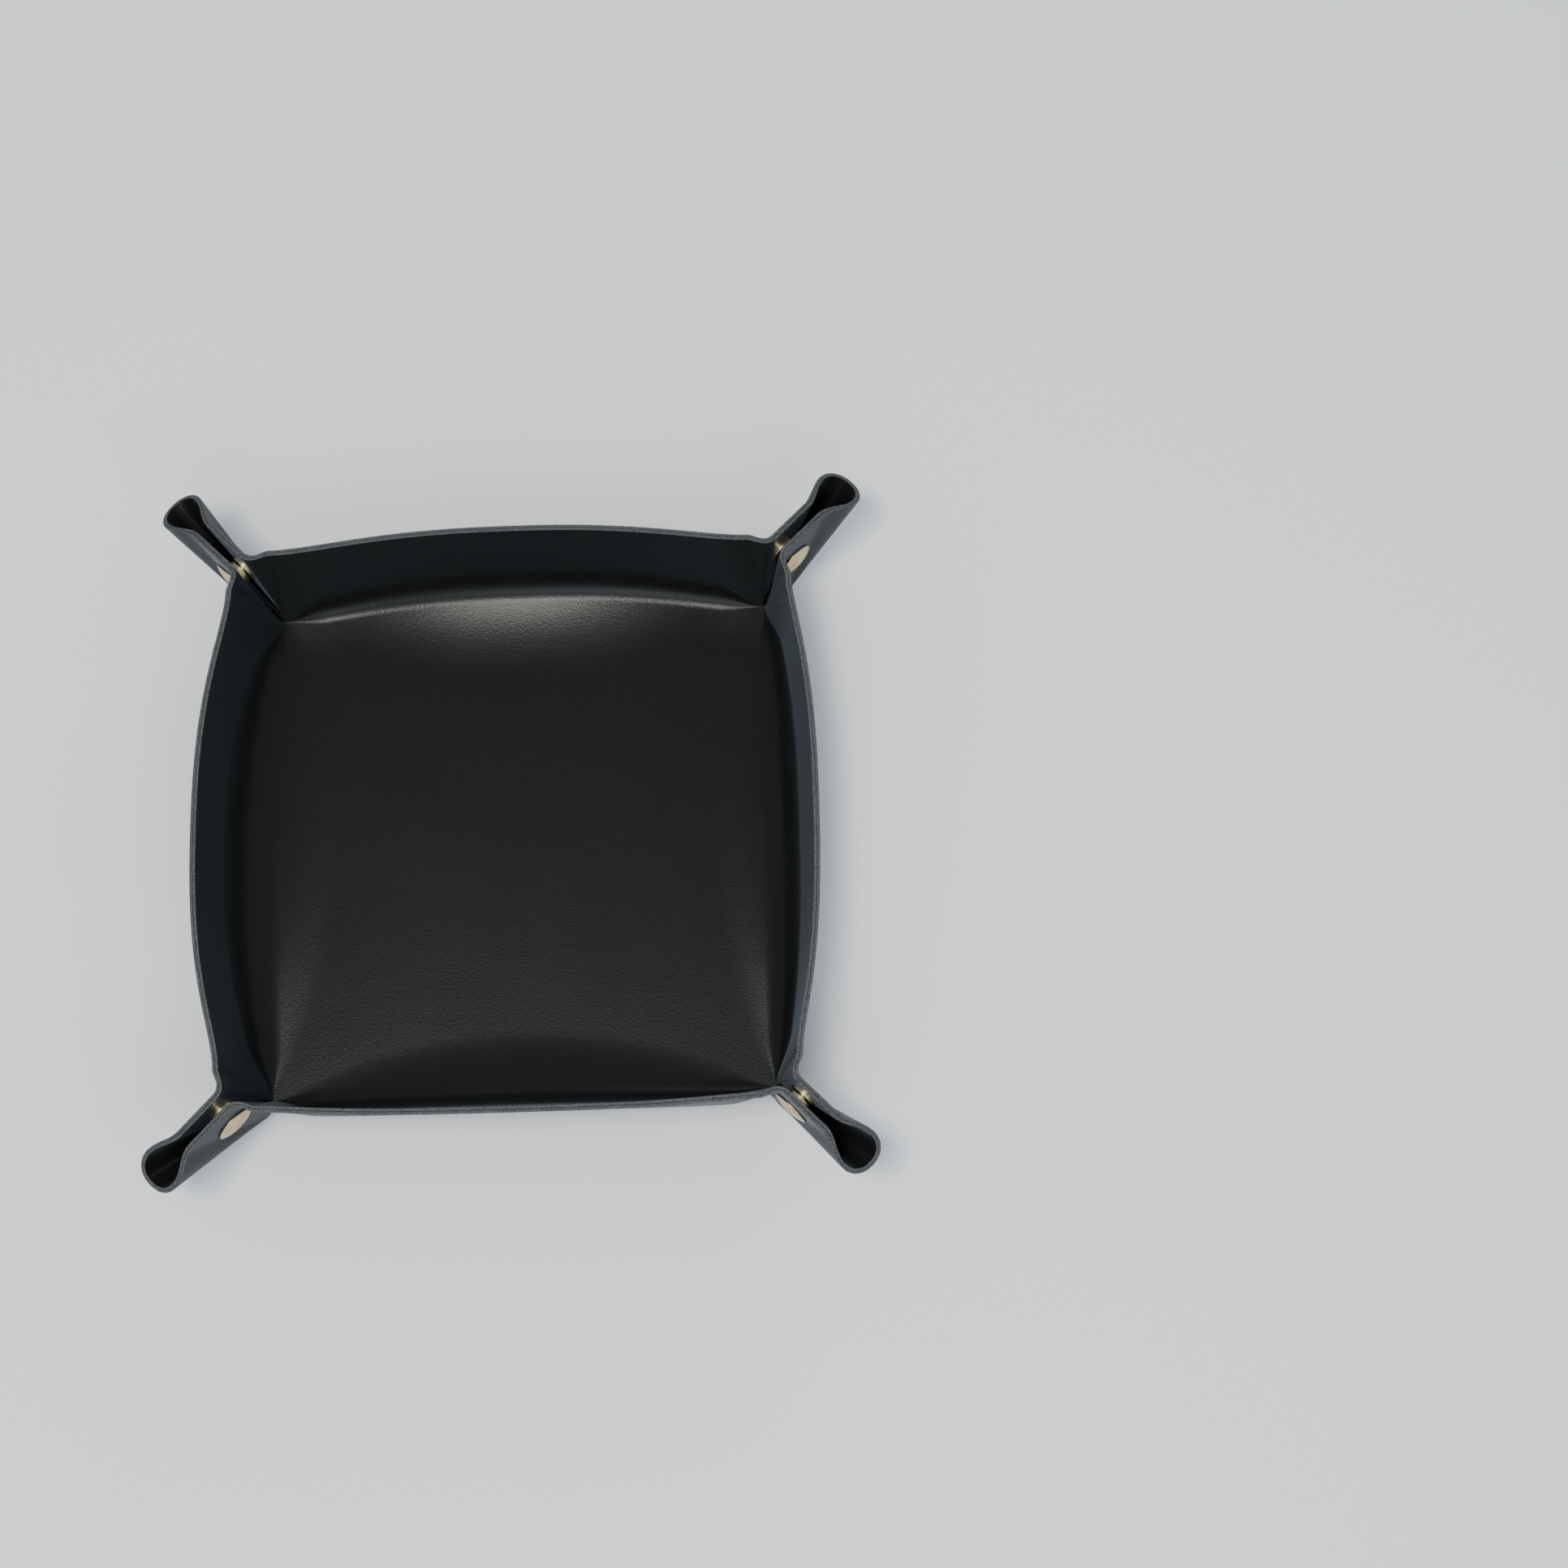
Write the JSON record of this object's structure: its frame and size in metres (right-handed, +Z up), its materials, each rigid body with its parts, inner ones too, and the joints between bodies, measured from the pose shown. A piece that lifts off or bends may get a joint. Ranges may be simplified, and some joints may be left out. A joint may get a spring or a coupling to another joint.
{
  "type": "folding dice tray",
  "caption": "Square soft tray from one two-ply leather sheet, its corners pinched outward into looped ears and held by brass press studs; unsnaps to lie flat.",
  "frame": {"origin": "centre of the underside of the floor", "axes": "+Z up; +Y towards the back wall; +X towards the right wall"},
  "size_m": [0.2274, 0.2274, 0.046],
  "materials": {
    "leather_inside": "satin black with a fine grain",
    "leather_outside": "matt charcoal",
    "brass": "satin"
  },
  "bodies": {
    "floor": {"lining_floor": "leather_inside", "shell_floor": "leather_outside"},
    "back_wall": {"lining_wall_back": "leather_inside", "shell_wall_back": "leather_outside"},
    "right_wall": {"lining_wall_right": "leather_inside", "shell_wall_right": "leather_outside"},
    "front_wall": {"lining_wall_front": "leather_inside", "shell_wall_front": "leather_outside"},
    "left_wall": {"lining_wall_left": "leather_inside", "shell_wall_left": "leather_outside"},
    "pinch_back_right_back": {"lining_pinch_back_right_back": "leather_inside", "shell_pinch_back_right_back": "leather_outside", "stud_back_right": "brass", "post_back_right": "brass"},
    "ear_back_right_back": {"lining_ear_back_right_back": "leather_inside", "shell_ear_back_right_back": "leather_outside"},
    "pinch_back_right_right": {"lining_pinch_back_right_right": "leather_inside", "shell_pinch_back_right_right": "leather_outside", "cap_back_right": "brass", "socket_back_right": "brass"},
    "ear_back_right_right": {"lining_ear_back_right_right": "leather_inside", "shell_ear_back_right_right": "leather_outside"},
    "pinch_front_right_right": {"lining_pinch_front_right_right": "leather_inside", "shell_pinch_front_right_right": "leather_outside", "stud_front_right": "brass", "post_front_right": "brass"},
    "ear_front_right_right": {"lining_ear_front_right_right": "leather_inside", "shell_ear_front_right_right": "leather_outside"},
    "pinch_front_right_front": {"lining_pinch_front_right_front": "leather_inside", "shell_pinch_front_right_front": "leather_outside", "cap_front_right": "brass", "socket_front_right": "brass"},
    "ear_front_right_front": {"lining_ear_front_right_front": "leather_inside", "shell_ear_front_right_front": "leather_outside"},
    "pinch_front_left_front": {"lining_pinch_front_left_front": "leather_inside", "shell_pinch_front_left_front": "leather_outside", "cap_front_left": "brass", "socket_front_left": "brass"},
    "ear_front_left_front": {"lining_ear_front_left_front": "leather_inside", "shell_ear_front_left_front": "leather_outside"},
    "pinch_front_left_left": {"lining_pinch_front_left_left": "leather_inside", "shell_pinch_front_left_left": "leather_outside", "stud_front_left": "brass", "post_front_left": "brass"},
    "ear_front_left_left": {"lining_ear_front_left_left": "leather_inside", "shell_ear_front_left_left": "leather_outside"},
    "pinch_back_left_left": {"lining_pinch_back_left_left": "leather_inside", "shell_pinch_back_left_left": "leather_outside", "cap_back_left": "brass", "socket_back_left": "brass"},
    "ear_back_left_left": {"lining_ear_back_left_left": "leather_inside", "shell_ear_back_left_left": "leather_outside"},
    "pinch_back_left_back": {"lining_pinch_back_left_back": "leather_inside", "shell_pinch_back_left_back": "leather_outside", "stud_back_left": "brass", "post_back_left": "brass"},
    "ear_back_left_back": {"lining_ear_back_left_back": "leather_inside", "shell_ear_back_left_back": "leather_outside"}
  },
  "joints": [
    {"name": "back_wall_fold", "type": "hinge", "parent": "floor", "child": "back_wall", "pos_m": [0, 0.0805, 0.002], "axis": [-1, 0, 0], "range_deg": [0, 79.5]},
    {"name": "right_wall_fold", "type": "hinge", "parent": "floor", "child": "right_wall", "pos_m": [0.0805, 0, 0.002], "axis": [0, 1, 0], "range_deg": [0, 79.6]},
    {"name": "front_wall_fold", "type": "hinge", "parent": "floor", "child": "front_wall", "pos_m": [0, -0.0805, 0.002], "axis": [1, 0, 0], "range_deg": [0, 79.6]},
    {"name": "left_wall_fold", "type": "hinge", "parent": "floor", "child": "left_wall", "pos_m": [-0.0805, 0, 0.002], "axis": [0, -1, 0], "range_deg": [0, 79.6]},
    {"name": "pinch_back_right_back_turn", "type": "hinge", "parent": "back_wall", "child": "pinch_back_right_back", "pos_m": [0.07853, 0.07973, 0.00251], "axis": [-0.1793, -0.1793, -0.9673], "range_deg": [0, 46.05]},
    {"name": "ear_back_right_back_turn", "type": "hinge", "parent": "pinch_back_right_back", "child": "ear_back_right_back", "pos_m": [0.07951, 0.08071, 0.00265], "axis": [0.5366, 0.5366, 0.6513], "range_deg": [0, 90.1]},
    {"name": "pinch_back_right_right_turn", "type": "hinge", "parent": "right_wall", "child": "pinch_back_right_right", "pos_m": [0.07973, 0.07853, 0.00251], "axis": [0.1793, 0.1793, 0.9673], "range_deg": [0, 46.05]},
    {"name": "ear_back_right_right_turn", "type": "hinge", "parent": "pinch_back_right_right", "child": "ear_back_right_right", "pos_m": [0.08071, 0.07951, 0.00265], "axis": [-0.5366, -0.5366, -0.6513], "range_deg": [0, 90.1]},
    {"name": "pinch_front_right_right_turn", "type": "hinge", "parent": "right_wall", "child": "pinch_front_right_right", "pos_m": [0.07973, -0.07853, 0.00251], "axis": [-0.1793, 0.1793, -0.9673], "range_deg": [0, 46.05]},
    {"name": "ear_front_right_right_turn", "type": "hinge", "parent": "pinch_front_right_right", "child": "ear_front_right_right", "pos_m": [0.08071, -0.07951, 0.00265], "axis": [0.5366, -0.5366, 0.6513], "range_deg": [0, 90.1]},
    {"name": "pinch_front_right_front_turn", "type": "hinge", "parent": "front_wall", "child": "pinch_front_right_front", "pos_m": [0.07853, -0.07973, 0.00251], "axis": [0.1793, -0.1793, 0.9673], "range_deg": [0, 46.05]},
    {"name": "ear_front_right_front_turn", "type": "hinge", "parent": "pinch_front_right_front", "child": "ear_front_right_front", "pos_m": [0.07951, -0.08071, 0.00265], "axis": [-0.5366, 0.5366, -0.6513], "range_deg": [0, 90.1]},
    {"name": "pinch_front_left_front_turn", "type": "hinge", "parent": "front_wall", "child": "pinch_front_left_front", "pos_m": [-0.07853, -0.07973, 0.00251], "axis": [0.1793, 0.1793, -0.9673], "range_deg": [0, 46.05]},
    {"name": "ear_front_left_front_turn", "type": "hinge", "parent": "pinch_front_left_front", "child": "ear_front_left_front", "pos_m": [-0.07951, -0.08071, 0.00265], "axis": [-0.5366, -0.5366, 0.6513], "range_deg": [0, 90.1]},
    {"name": "pinch_front_left_left_turn", "type": "hinge", "parent": "left_wall", "child": "pinch_front_left_left", "pos_m": [-0.07973, -0.07853, 0.00251], "axis": [-0.1793, -0.1793, 0.9673], "range_deg": [0, 46.05]},
    {"name": "ear_front_left_left_turn", "type": "hinge", "parent": "pinch_front_left_left", "child": "ear_front_left_left", "pos_m": [-0.08071, -0.07951, 0.00265], "axis": [0.5366, 0.5366, -0.6513], "range_deg": [0, 90.1]},
    {"name": "pinch_back_left_left_turn", "type": "hinge", "parent": "left_wall", "child": "pinch_back_left_left", "pos_m": [-0.07973, 0.07853, 0.00251], "axis": [0.1793, -0.1793, -0.9673], "range_deg": [0, 46.05]},
    {"name": "ear_back_left_left_turn", "type": "hinge", "parent": "pinch_back_left_left", "child": "ear_back_left_left", "pos_m": [-0.08071, 0.07951, 0.00265], "axis": [-0.5366, 0.5366, 0.6513], "range_deg": [0, 90.1]},
    {"name": "pinch_back_left_back_turn", "type": "hinge", "parent": "back_wall", "child": "pinch_back_left_back", "pos_m": [-0.07853, 0.07973, 0.00251], "axis": [-0.1793, 0.1793, 0.9673], "range_deg": [0, 46.05]},
    {"name": "ear_back_left_back_turn", "type": "hinge", "parent": "pinch_back_left_back", "child": "ear_back_left_back", "pos_m": [-0.07951, 0.08071, 0.00265], "axis": [0.5366, -0.5366, -0.6513], "range_deg": [0, 90.1]}
  ],
  "couplings": [
    {"joint": "right_wall_fold", "follows": "back_wall_fold", "ratio": 1},
    {"joint": "front_wall_fold", "follows": "back_wall_fold", "ratio": 1},
    {"joint": "left_wall_fold", "follows": "back_wall_fold", "ratio": 1},
    {"joint": "pinch_back_right_back_turn", "follows": "back_wall_fold", "ratio": 0.57801},
    {"joint": "ear_back_right_back_turn", "follows": "back_wall_fold", "ratio": 1.1321},
    {"joint": "pinch_back_right_right_turn", "follows": "back_wall_fold", "ratio": 0.57801},
    {"joint": "ear_back_right_right_turn", "follows": "back_wall_fold", "ratio": 1.1321},
    {"joint": "pinch_front_right_right_turn", "follows": "back_wall_fold", "ratio": 0.57801},
    {"joint": "ear_front_right_right_turn", "follows": "back_wall_fold", "ratio": 1.1321},
    {"joint": "pinch_front_right_front_turn", "follows": "back_wall_fold", "ratio": 0.57801},
    {"joint": "ear_front_right_front_turn", "follows": "back_wall_fold", "ratio": 1.1321},
    {"joint": "pinch_front_left_front_turn", "follows": "back_wall_fold", "ratio": 0.57801},
    {"joint": "ear_front_left_front_turn", "follows": "back_wall_fold", "ratio": 1.1321},
    {"joint": "pinch_front_left_left_turn", "follows": "back_wall_fold", "ratio": 0.57801},
    {"joint": "ear_front_left_left_turn", "follows": "back_wall_fold", "ratio": 1.1321},
    {"joint": "pinch_back_left_left_turn", "follows": "back_wall_fold", "ratio": 0.57801},
    {"joint": "ear_back_left_left_turn", "follows": "back_wall_fold", "ratio": 1.1321},
    {"joint": "pinch_back_left_back_turn", "follows": "back_wall_fold", "ratio": 0.57801},
    {"joint": "ear_back_left_back_turn", "follows": "back_wall_fold", "ratio": 1.1321}
  ]
}
